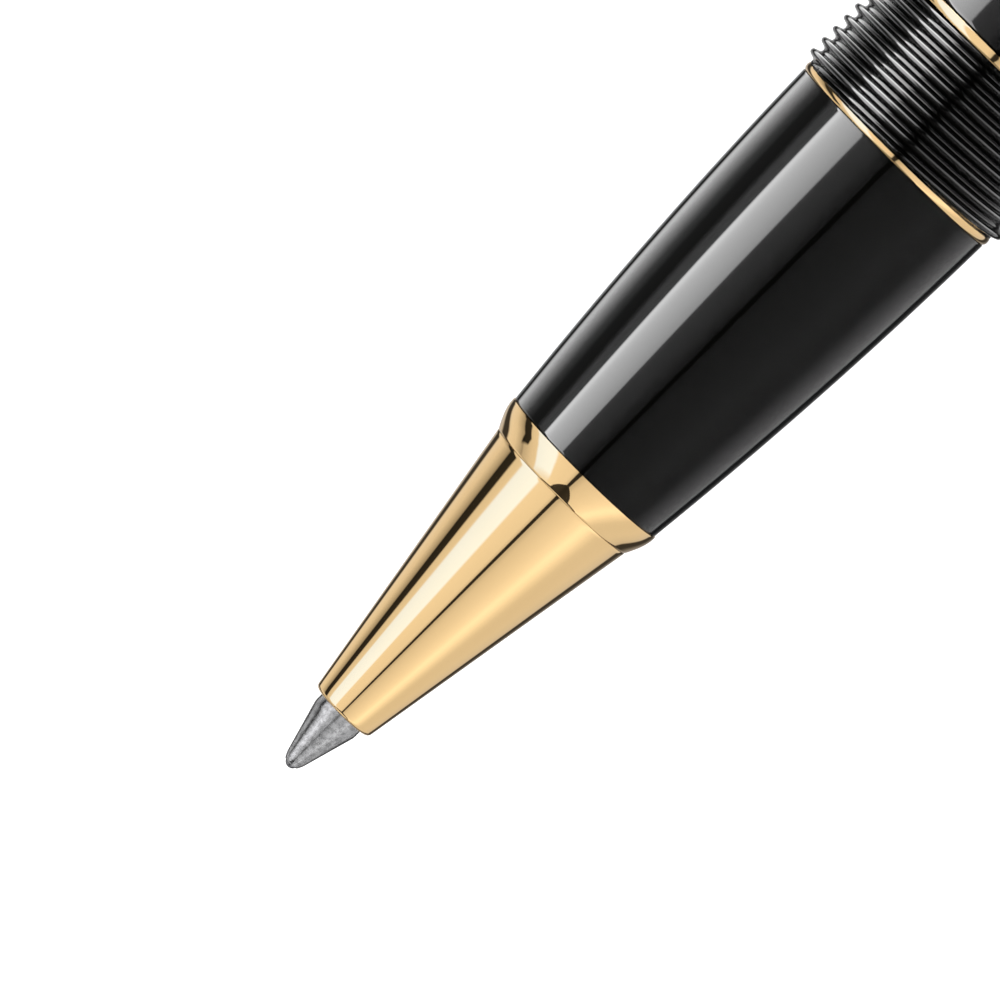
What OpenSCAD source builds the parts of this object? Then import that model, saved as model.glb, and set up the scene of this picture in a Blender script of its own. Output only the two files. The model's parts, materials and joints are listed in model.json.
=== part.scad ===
// Rollerball pen with its screw cap posted on the tail.
// The pen lies along X: the ball's end is the origin, the tail points to +X, and +Z is up.

/* [Refill] */
// Diameter of the rolling ball
ball_d = 0.7; // [0.5:0.05:0.8]
// Diameter of the metal point's straight shank
point_d = 2.58; // [2.4:0.02:2.6]
// Length of the point from the ball's end to where its cone reaches the shank
point_cone_l = 3.2; // [2.9:0.1:3.4]
// Diameter of the refill's ink tube
refill_d = 6; // [5.8:0.1:6]
// Whole length of the refill, ball to plug
refill_l = 110.5; // [108:0.5:111]

/* [Section] */
// Where the nose cone begins, behind the ball's end
nose_x = 3.7; // [3.4:0.02:4]
// Diameter of the nose cone's front face
nose_front_d = 3.45; // [3.4:0.05:3.8]
// Where the nose cone meets the collar ring
collar_x = 18.6; // [18.2:0.1:18.8]
// Diameter of the nose cone at the collar ring
nose_rear_d = 8.46; // [8.2:0.02:8.6]
// Diameter of the collar ring at its fullest
collar_d = 9.46; // [9.4:0.02:9.6]
// Where the collar ring meets the grip
grip_x = 20.18; // [19.8:0.02:20.3]
// Diameter of the grip at its front
grip_front_d = 9.34; // [9.2:0.02:9.4]
// Diameter of the grip at its rear
grip_rear_d = 11.94; // [11.6:0.02:12]
// Where the grip meets the section ring
section_ring_x = 41; // [40:0.05:42]
// Width of the section ring
section_ring_w = 0.5; // [0.4:0.05:0.8]
// Diameter of the section ring
section_ring_d = 12.06; // [12:0.02:12.1]

/* [Cap thread] */
// Length of the threaded collar
thread_l = 6.08; // [5.5:0.02:6.5]
// Distance from one crest to the next
thread_pitch = 0.75; // [0.7:0.01:0.8]
// Diameter over the crests
thread_crest_d = 12.76; // [12.6:0.02:12.8]
// Diameter at the roots
thread_root_d = 11.94; // [11.8:0.02:12]

/* [Barrel] */
// Diameter of the barrel's straight stretch
barrel_d = 13.2; // [13.1:0.1:13.4]
// Where the barrel begins to taper
taper_x = 72; // [70:1:74]
// Where the tail ring sits
tail_ring_x = 118; // [117.6:0.1:118.4]
// End of the tail
tail_end_x = 126.5; // [126:0.1:127]

/* [Cap] */
// Where the posted cap's lip lies along the pen
cap_x = 97; // [96.9:0.1:98]
// Length of the cap, lip to finial
cap_l = 65; // [64:0.5:66]
// Largest diameter of the cap's shell
cap_d = 15; // [14.9:0.1:15.2]
// Turn of the clip around the cap, from straight up
clip_turn = 136; // [0:1:180]
// Width of the clip's arm at its root
clip_root_w = 3; // [2.6:0.1:3.4]
// Width of the clip's arm at its foot
clip_foot_w = 2; // [1.6:0.1:2.4]

/* [Hidden] */
$fn = 96;

black = [0.03, 0.03, 0.03];
gold = [0.83, 0.66, 0.36];
steel = [0.62, 0.62, 0.62];
brass = [0.75, 0.62, 0.3];

// Clearance of a part that slides or turns in another, on the radius
run = 0.05;
// Step count of each curved outline
arc_n = 12;

// Refill
ball_r = ball_d / 2;
socket_r = ball_r + 0.012;
lip_x = 0.22;
lip_r = 0.36;
lip_round_x = 0.55;
cone_slope = 0.28;
point_r = point_d / 2;
point_end_x = 10.5;
ink_hole_r = 0.2;
point_bore_r = 0.6;
point_bore_x = 2;
holder_x = 8.5;
holder_front_r = 1.95;
shoulder_x = 14.5;
shoulder_l = 1.5;
holder_end_x = 20;
tube_x = 17;
refill_r = refill_d / 2;
tube_bore_r = refill_r - 0.5;
feed_r = 0.55;
feed_end_x = 25;
reservoir_x = 22;
reservoir_end_x = 106;
plug_x = 106.5;
plug_head_l = 1.5;
refill_end_x = refill_l;
tube_end_x = refill_end_x - plug_head_l;

// Section
nose_front_r = nose_front_d / 2;
nose_rear_r = nose_rear_d / 2;
nose_round = 0.28;
nose_slope = (nose_rear_r - nose_front_r) / (collar_x - nose_x);
nose_bore_x = holder_x - 0.3;
nose_spigot_r = 3.55;
nose_spigot_x = 25;
liner_front_r = 4.05;
liner_rear_r = 4.6;
liner_end_x = 54;
liner_bore_r = refill_r + 2 * run;
section_ring_end_x = section_ring_x + section_ring_w;
thread_end_x = section_ring_end_x + thread_l;

// Barrel
ring_gap = 0.02;
barrel_ring_x = thread_end_x + ring_gap;
barrel_x = barrel_ring_x + 0.53;
barrel_r = barrel_d / 2;
barrel_ring_r = barrel_r - 0.05;
insert_r = 5.4;
insert_end_x = 56;
barrel_bore_r = 4.4;
guide_x = 100;
guide_r = 3.3;
// The cap's thread rests on the barrel where the barrel has narrowed to this
post_r = 6;
post_x = 99.5;
taper_curve = (post_x - taper_x) * (post_x - taper_x) / (2 * (barrel_r - post_r));
tail_ring_w = 0.6;
spring_end_x = 116.9;
spring_wire_r = 0.25;
spring_coil_r = 2.5;
spring_turns = 5;
spring_sides = 8;
spring_steps = 20;

// Cap, measured from its lip
cap_r = cap_d / 2;
full_x = 12;
lip_drop = 0.2;
top_drop = 0.95;
shell_end_x = 55;
mouth_bore_r = 6.5;
mouth_bore_l = 2.5;
cap_minor_r = post_r + run;
cap_major_r = 6.45;
cap_thread_end_x = 9;
cap_bore_r = 6.3;
inner_cap_x = 27;
inner_cap_r = 5.6;
inner_cap_bore_r = 4.8;
inner_cap_end_x = 50.5;
inner_cap_top = 2;
band_x = 3.2;
band_w = 3.2;
band_r = cap_r + 0.05;
band_seat_r = 7;
lip_ring_w = 0.6;
clip_ring_w = 2;
finial_x = shell_end_x + clip_ring_w;
clip_ring_r = 6.7;
screw_r = 2;
screw_hole_r = screw_r + run;
screw_head_r = 3.2;
screw_head_l = 1.2;
screw_end_x = 61;
lug_top = 7.3;
foot_x = 16;
foot_r = 1.1;
foot_gap = 0.1;
foot_h = cap_r + foot_gap + foot_r;
arm_under = 8.25;
arm_top = 9.1;

function cone_r(x) = lip_round_r + cone_slope * (x - lip_round_x);
lip_round_r = point_r - cone_slope * (point_cone_l - lip_round_x);
function nose_r(x) = nose_front_r + nose_slope * (x - nose_x);
function barrel_at(x) = x <= taper_x ? barrel_r : barrel_r - pow(x - taper_x, 2) / (2 * taper_curve);
function cap_at(x) = x < full_x
    ? cap_r - lip_drop * pow((full_x - x) / full_x, 2)
    : cap_r - top_drop * pow((x - full_x) / (shell_end_x - full_x), 2);
// The grip's outline is one long arc that is nearly straight at its rear
grip_rear_slope = 0.018;
grip_l = section_ring_x - grip_x;
grip_curve = ((grip_rear_d - grip_front_d) / 2 - grip_rear_slope * grip_l) / pow(grip_l, 2);
function grip_at(x) = grip_rear_d / 2 - grip_rear_slope * (section_ring_x - x)
    - grip_curve * pow(section_ring_x - x, 2);

function between(a, b, i, n) = a + (b - a) * i / n;

// Turns an outline of [x, radius] points about the pen's axis
module lathe(outline) {
    rotate([0, 90, 0])
        rotate_extrude()
            polygon([for (p = outline) [p[1], p[0]]]);
}

// A plain tube from x0 to x1
module tube(x0, x1, r_out, r_in) {
    lathe([[x0, r_in], [x1, r_in], [x1, r_out], [x0, r_out]]);
}

// A metal ring with a bulged rim
module bulged_ring(x0, x1, r_in, r_edge, r_full) {
    lathe(concat(
        [[x1, r_in], [x0, r_in]],
        [for (i = [0:arc_n]) [
            between(x0, x1, i, arc_n),
            r_edge + (r_full - r_edge) * sin(180 * i / arc_n)
        ]]
    ));
}

module refill_ball() {
    color(steel)
        translate([ball_r, 0, 0])
            sphere(r = ball_r);
}

module refill_point() {
    color(steel)
        difference() {
            lathe([
                [lip_x, 0], [lip_x, lip_r], [lip_round_x, lip_round_r],
                [point_cone_l, point_r], [point_end_x, point_r], [point_end_x, 0]
            ]);
            translate([ball_r, 0, 0])
                sphere(r = socket_r);
            lathe([[0, 0], [0, ink_hole_r], [point_bore_x + 0.1, ink_hole_r], [point_bore_x + 0.1, 0]]);
            lathe([
                [point_bore_x, 0], [point_bore_x, point_bore_r],
                [point_end_x + 1, point_bore_r], [point_end_x + 1, 0]
            ]);
        }
}

module point_holder() {
    color(black)
        lathe([
            [holder_x, point_r], [holder_x, holder_front_r], [shoulder_x, holder_front_r],
            [shoulder_x + shoulder_l, refill_r], [tube_x, refill_r], [tube_x, tube_bore_r],
            [holder_end_x, tube_bore_r], [holder_end_x, point_bore_r],
            [point_end_x, point_bore_r], [point_end_x, point_r]
        ]);
}

module refill_tube() {
    color("white")
        tube(tube_x, tube_end_x, refill_r, tube_bore_r);
}

module feed_rod() {
    color("ivory")
        tube(point_bore_x + 0.1, feed_end_x, feed_r, 0);
}

module ink_reservoir() {
    color([0.1, 0.12, 0.3])
        lathe([
            [reservoir_x, feed_r], [reservoir_x, tube_bore_r], [reservoir_end_x, tube_bore_r],
            [reservoir_end_x, 0], [feed_end_x, 0], [feed_end_x, feed_r]
        ]);
}

module refill_plug() {
    color(black)
        lathe([
            [plug_x, 0], [plug_x, tube_bore_r], [tube_end_x, tube_bore_r],
            [tube_end_x, refill_r], [refill_end_x, refill_r], [refill_end_x, 0]
        ]);
}

// The taper's front edge is rounded; inside it guides the point and seats the refill's shoulder
module nose_cone() {
    color(gold)
        lathe(concat(
            [for (i = [0:arc_n]) [
                nose_x + nose_round * (1 - sin(90 * i / arc_n)),
                nose_r(nose_x + nose_round) - nose_round * (1 - cos(90 * i / arc_n))
            ]],
            [
                [nose_x, point_r + run], [nose_bore_x, point_r + run],
                [nose_bore_x, holder_front_r + run], [shoulder_x - run, holder_front_r + run],
                [shoulder_x + shoulder_l - run, refill_r + run], [nose_spigot_x, refill_r + run],
                [nose_spigot_x, nose_spigot_r], [collar_x, nose_spigot_r],
                [collar_x, nose_rear_r]
            ]
        ));
}

module collar_ring() {
    color(gold)
        lathe(concat(
            [[grip_x, nose_spigot_r], [collar_x, nose_spigot_r]],
            [for (i = [0:arc_n]) [
                between(collar_x, grip_x, i, arc_n),
                nose_rear_r + (collar_d / 2 - nose_rear_r) * sin(90 * i / arc_n)
            ]]
        ));
}

module grip_sleeve() {
    color(black)
        lathe(concat(
            [[section_ring_x, liner_front_r], [grip_x, liner_front_r]],
            [for (i = [0:arc_n])
                let (x = between(grip_x, section_ring_x, i, arc_n))
                [x, grip_at(x)]
            ]
        ));
}

// Runs through the whole section, holds the nose cone and screws into the barrel
module section_liner() {
    color(brass)
        lathe([
            [grip_x, nose_spigot_r], [grip_x, liner_front_r], [section_ring_x, liner_front_r],
            [section_ring_x, liner_rear_r], [liner_end_x, liner_rear_r],
            [liner_end_x, liner_bore_r], [nose_spigot_x, liner_bore_r],
            [nose_spigot_x, nose_spigot_r]
        ]);
}

module section_ring() {
    color(gold)
        bulged_ring(
            section_ring_x, section_ring_end_x, liner_rear_r,
            thread_root_d / 2, section_ring_d / 2
        );
}

// The ridges of the cap thread
module thread_collar() {
    crest_w = 0.12;
    flank_w = 0.2;
    first_x = section_ring_end_x + 0.45;
    crests = floor((thread_l - 0.8) / thread_pitch);
    color(black)
        lathe(concat(
            [[thread_end_x, liner_rear_r], [section_ring_end_x, liner_rear_r]],
            [[section_ring_end_x, thread_root_d / 2]],
            [for (i = [0:crests], p = [
                [-crest_w / 2 - flank_w, thread_root_d / 2], [-crest_w / 2, thread_crest_d / 2],
                [crest_w / 2, thread_crest_d / 2], [crest_w / 2 + flank_w, thread_root_d / 2]
            ])
                [first_x + i * thread_pitch + p[0], p[1]]
            ],
            [[thread_end_x, thread_root_d / 2]]
        ));
}

module barrel_ring() {
    color(gold)
        bulged_ring(
            barrel_ring_x, barrel_x, liner_rear_r + run,
            barrel_ring_r - 0.1, barrel_ring_r
        );
}

module barrel_insert() {
    color(brass)
        tube(barrel_x, insert_end_x, insert_r, liner_rear_r + run);
}

module barrel() {
    color(black)
        lathe(concat(
            [for (i = [0:arc_n])
                let (x = between(taper_x, tail_ring_x, i, arc_n))
                [x, barrel_at(x)]
            ],
            [
                [tail_ring_x, guide_r], [guide_x, guide_r], [guide_x, barrel_bore_r],
                [insert_end_x, barrel_bore_r], [insert_end_x, insert_r],
                [barrel_x, insert_r], [barrel_x, barrel_r]
            ]
        ));
}

// A coil of round wire between the refill's plug and the tail cap
module refill_spring() {
    front = refill_end_x + spring_wire_r + run;
    back = spring_end_x - spring_wire_r;
    rings = spring_turns * spring_steps;
    points = [for (i = [0:rings], j = [0:spring_sides - 1])
        let (turn = 360 * i / spring_steps, side = 360 * j / spring_sides)
        [
            between(front, back, i, rings) + spring_wire_r * sin(side),
            (spring_coil_r + spring_wire_r * cos(side)) * cos(turn),
            (spring_coil_r + spring_wire_r * cos(side)) * sin(turn)
        ]
    ];
    walls = [for (i = [0:rings - 1], j = [0:spring_sides - 1])
        let (k = (j + 1) % spring_sides, a = i * spring_sides, b = (i + 1) * spring_sides)
        [a + j, b + j, b + k, a + k]
    ];
    ends = [
        [for (j = [0:spring_sides - 1]) j],
        [for (j = [spring_sides - 1:-1:0]) rings * spring_sides + j]
    ];
    color(steel)
        polyhedron(points, concat(walls, ends));
}

module tail_ring() {
    color(gold)
        bulged_ring(
            tail_ring_x, tail_ring_x + tail_ring_w, guide_r,
            barrel_at(tail_ring_x), barrel_at(tail_ring_x) + 0.08
        );
}

// Closes the barrel's bore and backs the spring
module tail_cap() {
    x0 = tail_ring_x + tail_ring_w;
    r0 = barrel_at(tail_ring_x) - 0.05;
    side_l = 4;
    r1 = r0 - 0.45;
    color(black)
        lathe(concat(
            [[spring_end_x, 0], [spring_end_x, guide_r], [x0, guide_r], [x0, r0]],
            [for (i = [0:arc_n]) [
                x0 + side_l + (tail_end_x - x0 - side_l) * sin(90 * i / arc_n),
                r1 * cos(90 * i / arc_n)
            ]]
        ));
}

module cap_shell() {
    thread_top = cap_thread_end_x - mouth_bore_l;
    ridges = floor(thread_top / thread_pitch);
    color(black)
        translate([cap_x, 0, 0])
            lathe(concat(
                [[lip_ring_w, mouth_bore_r], [lip_ring_w, cap_at(lip_ring_w)]],
                [
                    [band_x, cap_at(band_x)], [band_x, band_seat_r],
                    [band_x + band_w, band_seat_r], [band_x + band_w, cap_at(band_x + band_w)]
                ],
                [for (i = [0:2 * arc_n])
                    let (x = between(full_x, shell_end_x, i, 2 * arc_n))
                    [x, cap_at(x)]
                ],
                [
                    [shell_end_x, screw_hole_r], [inner_cap_end_x, screw_hole_r],
                    [inner_cap_end_x, inner_cap_r], [inner_cap_x, inner_cap_r],
                    [inner_cap_x, cap_bore_r], [cap_thread_end_x, cap_bore_r]
                ],
                [for (i = [ridges - 1:-1:0], p = [
                    [0.62, cap_major_r], [0.44, cap_minor_r],
                    [0.31, cap_minor_r], [0.13, cap_major_r]
                ])
                    [mouth_bore_l + (i + p[0]) * thread_pitch, p[1]]
                ],
                [[mouth_bore_l, mouth_bore_r]]
            ));
}

module cap_lip_ring() {
    color(gold)
        translate([cap_x, 0, 0])
            bulged_ring(0, lip_ring_w, mouth_bore_r, cap_at(0) - 0.1, cap_at(0) + 0.03);
}

module cap_band() {
    color(gold)
        translate([cap_x, 0, 0])
            bulged_ring(band_x, band_x + band_w, band_seat_r, cap_at(band_x), band_r);
}

// Seals the writing end when the cap is screwed on
module inner_cap() {
    color([0.12, 0.12, 0.12])
        translate([cap_x, 0, 0])
            lathe([
                [inner_cap_x, inner_cap_bore_r], [inner_cap_x, inner_cap_r],
                [inner_cap_end_x, inner_cap_r], [inner_cap_end_x, screw_hole_r],
                [inner_cap_end_x - inner_cap_top, screw_hole_r],
                [inner_cap_end_x - inner_cap_top, inner_cap_bore_r]
            ]);
}

// Clamped between shell and finial, with the lug that the clip springs from
module clip_ring() {
    color(gold)
        translate([cap_x, 0, 0])
            difference() {
                union() {
                    tube(shell_end_x, finial_x, clip_ring_r, screw_hole_r);
                    rotate([clip_turn, 0, 0])
                        translate([shell_end_x, -clip_root_w / 2, clip_ring_r - 1])
                            cube([clip_ring_w, clip_root_w, lug_top - clip_ring_r + 1]);
                }
                tube(shell_end_x - 1, finial_x + 1, screw_hole_r, 0);
            }
}

module clip() {
    tip_x = foot_x - 1.4;
    under = lug_top + run;
    color(gold)
        translate([cap_x, 0, 0])
            rotate([clip_turn, 0, 0]) {
                intersection() {
                    rotate([90, 0, 0])
                        translate([0, 0, -clip_root_w])
                            linear_extrude(2 * clip_root_w)
                                polygon([
                                    [finial_x, under], [finial_x, arm_under],
                                    [finial_x - 1.2, arm_top - 0.2], [finial_x - 3.5, arm_top],
                                    [foot_x, arm_top + 0.2], [tip_x, arm_top],
                                    [tip_x, arm_under + 0.15], [foot_x + 3, arm_under + 0.1],
                                    [finial_x - 4, arm_under], [shell_end_x - 0.4, arm_under - 0.3],
                                    [shell_end_x, under]
                                ]);
                    linear_extrude(2 * arm_top)
                        polygon([
                            [finial_x + 1, -clip_root_w / 2], [finial_x + 1, clip_root_w / 2],
                            [tip_x, clip_foot_w / 2], [tip_x, -clip_foot_w / 2]
                        ]);
                }
                translate([foot_x, 0, foot_h])
                    sphere(r = foot_r);
            }
}

module finial() {
    dome_r = clip_ring_r - 0.25;
    rim_l = 1;
    top_x = cap_l - finial_x - rim_l;
    color(black)
        translate([cap_x, 0, 0])
            lathe(concat(
                [
                    [screw_end_x + 0.5, 0], [screw_end_x + 0.5, screw_hole_r],
                    [finial_x, screw_hole_r], [finial_x, dome_r]
                ],
                [for (i = [0:arc_n]) [
                    finial_x + rim_l + top_x * sin(90 * i / arc_n),
                    dome_r * cos(90 * i / arc_n)
                ]]
            ));
}

// Holds inner cap, shell, clip ring and finial together
module finial_screw() {
    head_x = inner_cap_end_x - inner_cap_top;
    color(brass)
        translate([cap_x, 0, 0])
            lathe([
                [head_x - screw_head_l, 0], [head_x - screw_head_l, screw_head_r],
                [head_x, screw_head_r], [head_x, screw_r], [screw_end_x, screw_r],
                [screw_end_x, 0]
            ]);
}

refill_ball();
refill_point();
point_holder();
refill_tube();
feed_rod();
ink_reservoir();
refill_plug();
nose_cone();
collar_ring();
grip_sleeve();
section_liner();
section_ring();
thread_collar();
barrel_ring();
barrel_insert();
barrel();
refill_spring();
tail_ring();
tail_cap();
cap_shell();
cap_lip_ring();
cap_band();
inner_cap();
clip_ring();
clip();
finial();
finial_screw();
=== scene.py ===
"""Rollerball pen: finished surfaces, materials and studio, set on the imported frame.

The pen lies along X with its writing tip at the origin and +Z up. All lengths are in metres.
"""

import json
import math

import bpy
from bpy.props import FloatProperty, FloatVectorProperty, IntProperty, PointerProperty
from bpy.types import Operator, Panel, PropertyGroup
from mathutils import Matrix, Vector


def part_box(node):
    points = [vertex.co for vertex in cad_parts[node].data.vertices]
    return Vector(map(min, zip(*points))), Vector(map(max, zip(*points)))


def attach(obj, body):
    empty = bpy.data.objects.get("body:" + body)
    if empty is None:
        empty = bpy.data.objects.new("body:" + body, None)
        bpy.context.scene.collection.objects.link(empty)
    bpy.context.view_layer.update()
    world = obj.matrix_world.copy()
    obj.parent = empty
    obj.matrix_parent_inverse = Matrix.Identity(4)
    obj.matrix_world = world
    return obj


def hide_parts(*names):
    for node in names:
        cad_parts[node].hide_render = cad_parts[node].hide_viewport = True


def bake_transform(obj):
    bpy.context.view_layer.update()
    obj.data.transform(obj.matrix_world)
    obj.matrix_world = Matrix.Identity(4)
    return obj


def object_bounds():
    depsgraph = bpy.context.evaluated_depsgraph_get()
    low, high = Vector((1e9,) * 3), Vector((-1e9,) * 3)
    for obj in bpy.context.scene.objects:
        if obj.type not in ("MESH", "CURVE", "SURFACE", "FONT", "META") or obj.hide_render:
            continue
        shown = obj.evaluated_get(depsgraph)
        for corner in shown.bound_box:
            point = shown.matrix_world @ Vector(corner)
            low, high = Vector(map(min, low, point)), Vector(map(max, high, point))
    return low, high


bl_info = {
    "name": "Rollerball Pen",
    "version": (1, 0, 0),
    "blender": (4, 5, 0),
    "location": "View3D > Sidebar > Pen",
    "description": "Finishes the pen's pieces and sets them in a white light tent",
    "category": "Object",
}

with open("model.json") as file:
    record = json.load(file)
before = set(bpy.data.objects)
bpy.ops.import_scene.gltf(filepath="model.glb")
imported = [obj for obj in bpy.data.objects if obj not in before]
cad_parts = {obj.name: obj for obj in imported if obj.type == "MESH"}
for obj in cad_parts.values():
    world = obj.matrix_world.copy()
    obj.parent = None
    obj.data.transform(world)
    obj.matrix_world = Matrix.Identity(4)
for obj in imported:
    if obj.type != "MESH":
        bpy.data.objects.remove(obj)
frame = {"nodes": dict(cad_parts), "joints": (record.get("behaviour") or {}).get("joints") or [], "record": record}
CAD_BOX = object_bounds()
MM = 0.001


# Sizes that come from the frame


def front(node):
    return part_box(node)[0].x


def rear(node):
    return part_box(node)[1].x


def radius(node):
    """The largest radius of a turned part."""
    low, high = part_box(node)
    return (high.z - low.z) / 2


# Properties


class PenSizes(PropertyGroup):
    facets: IntProperty(
        name="Facets", description="Steps round each turned part", default=192, min=48
    )
    nose_front_radius: FloatProperty(
        name="Nose front radius", description="Radius of the nose cone's front face",
        default=1.725 * MM, unit="LENGTH",
    )
    nose_edge_round: FloatProperty(
        name="Nose edge rounding", description="Radius of the edge round the nose's front face",
        default=0.26 * MM, unit="LENGTH",
    )
    thread_pitch: FloatProperty(
        name="Cap thread pitch", description="Distance from one crest to the next",
        default=0.75 * MM, unit="LENGTH",
    )
    thread_start: FloatProperty(
        name="Cap thread start", description="Shift of the cap thread along the pen",
        default=0.373 * MM, unit="LENGTH",
    )
    thread_root: FloatProperty(
        name="Cap thread root", description="Radius at the bottom of the cap thread",
        default=5.97 * MM, unit="LENGTH",
    )
    thread_starts: IntProperty(
        name="Cap thread starts", description="How many threads run side by side", default=2
    )
    joint_thread_pitch: FloatProperty(
        name="Joint thread pitch", description="Lead of the thread between section and barrel",
        default=1.0 * MM, unit="LENGTH",
    )


class PenFinishes(PropertyGroup):
    gold: FloatVectorProperty(
        name="Gold plate", description="Colour of the plated parts", subtype="COLOR",
        default=(0.885, 0.62, 0.315), min=0, max=1,
    )
    gold_roughness: FloatProperty(
        name="Gold roughness", description="Polish of the plated parts", default=0.035,
        subtype="FACTOR", min=0, max=1,
    )
    resin: FloatVectorProperty(
        name="Resin", description="Colour of the black resin", subtype="COLOR",
        default=(0.0012, 0.0012, 0.0012), min=0, max=1,
    )
    resin_roughness: FloatProperty(
        name="Resin roughness", description="Polish of the black resin", default=0.03,
        subtype="FACTOR", min=0, max=1,
    )
    nickel: FloatVectorProperty(
        name="Nickel silver", description="Colour of the writing point", subtype="COLOR",
        default=(0.43, 0.43, 0.435), min=0, max=1,
    )


class PenStudio(PropertyGroup):
    distance: FloatProperty(
        name="Camera distance", description="From the camera to the pen's axis",
        default=0.6, unit="LENGTH",
    )
    frame_width: FloatProperty(
        name="Frame width", description="Width that the camera covers at the pen",
        default=47.6 * MM, unit="LENGTH",
    )
    tilt: FloatProperty(
        name="Camera tilt", description="Lean of the camera towards the pen's tail",
        default=math.radians(4.6), subtype="ANGLE",
    )
    roll: FloatProperty(
        name="Camera roll", description="Angle of the pen across the frame",
        default=math.radians(45.18), subtype="ANGLE",
    )
    aim_x: FloatProperty(
        name="Aim along the pen", description="Where the camera looks, from the writing tip",
        default=16.21 * MM, unit="LENGTH",
    )
    aim_y: FloatProperty(
        name="Aim beside the pen", description="Where the camera looks, from the pen's axis",
        default=1.771 * MM, unit="LENGTH",
    )
    tent_radius: FloatProperty(
        name="Tent radius", description="Radius of the light tent round the pen",
        default=1.0, unit="LENGTH",
    )


# Modelling helpers


def deselect_all():
    for o in list(bpy.context.selected_objects):
        o.select_set(False)


def start_edit(obj):
    deselect_all()
    bpy.context.view_layer.objects.active = obj
    obj.select_set(True)
    bpy.ops.object.mode_set(mode="EDIT")
    bpy.ops.mesh.select_all(action="SELECT")


def end_edit():
    bpy.ops.object.mode_set(mode="OBJECT")


def new_point(name):
    """A mesh of one vertex at the origin, left in edit mode."""
    deselect_all()
    bpy.ops.mesh.primitive_plane_add(size=MM, location=(0, 0, 0))
    obj = bpy.context.object
    obj.name = name
    obj.data.name = name
    bpy.ops.object.mode_set(mode="EDIT")
    bpy.ops.mesh.select_all(action="SELECT")
    bpy.ops.mesh.merge(type="CENTER")
    return obj


def arc(x, r, radius_x, radius_r, start, stop, steps=6):
    """Points of an ellipse's arc about (x, r), with angles in degrees from the +X direction."""
    return [
        (
            x + radius_x * math.cos(math.radians(start + (stop - start) * i / steps)),
            r + radius_r * math.sin(math.radians(start + (stop - start) * i / steps)),
        )
        for i in range(steps + 1)
    ]


def rounded(points, size, steps=5, closed=True):
    """The outline with each corner turned into a small arc, and a holding point beside each arc."""
    made = []
    count = len(points)
    for i, p in enumerate(points):
        if not closed and i in (0, count - 1):
            made.append(p)
            continue
        here = Vector(p)
        before = Vector(points[i - 1]) - here
        after = Vector(points[(i + 1) % count]) - here
        half = before.angle(after) / 2
        if math.pi - 2 * half < math.radians(12):
            made.append(p)
            continue
        back = min(size / math.tan(half), 0.4 * before.length, 0.4 * after.length)
        a = here + before.normalized() * back
        b = here + after.normalized() * back
        made.append(tuple(a + before.normalized() * min(back * 0.5, before.length * 0.08)))
        for k in range(steps + 1):
            t = k / steps
            q = (1 - t) ** 2 * a + 2 * t * (1 - t) * here + t**2 * b
            made.append(tuple(q))
        made.append(tuple(b + after.normalized() * min(back * 0.5, after.length * 0.08)))
    return made


def turned(name, outline, facets, closed=True, smooth=40):
    """Draws an outline of (x, radius) points edge by edge and spins it about the pen's axis."""
    obj = new_point(name)
    x, r = outline[0]
    bpy.ops.transform.translate(value=(x, 0, r))
    path = list(outline[1:])
    if closed:
        path.append(outline[0])
    for next_x, next_r in path:
        bpy.ops.mesh.extrude_region_move(
            TRANSFORM_OT_translate={"value": (next_x - x, 0, next_r - r)}
        )
        x, r = next_x, next_r
    bpy.ops.mesh.select_all(action="SELECT")
    bpy.ops.mesh.remove_doubles(threshold=1e-8)
    bpy.ops.mesh.select_all(action="SELECT")
    bpy.ops.mesh.spin(
        steps=facets, angle=2 * math.pi, center=(0, 0, 0), axis=(1, 0, 0), use_auto_merge=False
    )
    bpy.ops.mesh.select_all(action="SELECT")
    bpy.ops.mesh.remove_doubles(threshold=1e-7)
    bpy.ops.mesh.normals_make_consistent(inside=False)
    end_edit()
    bpy.ops.object.shade_smooth_by_angle(angle=math.radians(smooth))
    return obj


def finish_piece(obj, body, material, slot, *nodes):
    """Gives a piece its material and sets it on the body of the nodes it stands for."""
    obj.data.materials.clear()
    obj.data.materials.append(material)
    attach(obj, body)
    if nodes:
        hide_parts(*nodes)
    return obj


def ring_outline(x0, x1, inner, edge, full, steps=14):
    """A ring with a bulged rim and softened shoulders."""
    middle = (x0 + x1) / 2
    rim = arc(middle, edge, (x1 - x0) / 2, full - edge, 180, 0, steps)
    return [(x1, inner), (x0, inner)] + rim


def ridge_outline(root, crest, pitch, starts, tip, flank, steps=7):
    """One lead of a thread as (x, radius) points: rounded crests between hollow roots."""
    ridge = []
    for i in range(steps + 1):
        part = i / steps
        ridge.append((0.5 - tip - flank * (1 - part), part * part * (3 - 2 * part)))
    crown = [(0.5 - tip * 0.67, 1.05), (0.5 - tip * 0.33, 1.08), (0.5, 1.09)]
    ridge = ridge + crown + [(1 - x, rise) for x, rise in reversed(ridge + crown[:-1])]
    hollow = [(0, -0.06)]
    turn = hollow + ridge
    high = (crest - root) / 1.09
    points = [
        ((k + x) * pitch, root + high * rise) for k in range(starts) for x, rise in turn
    ]
    return points + [(starts * pitch, points[0][1])]


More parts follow.
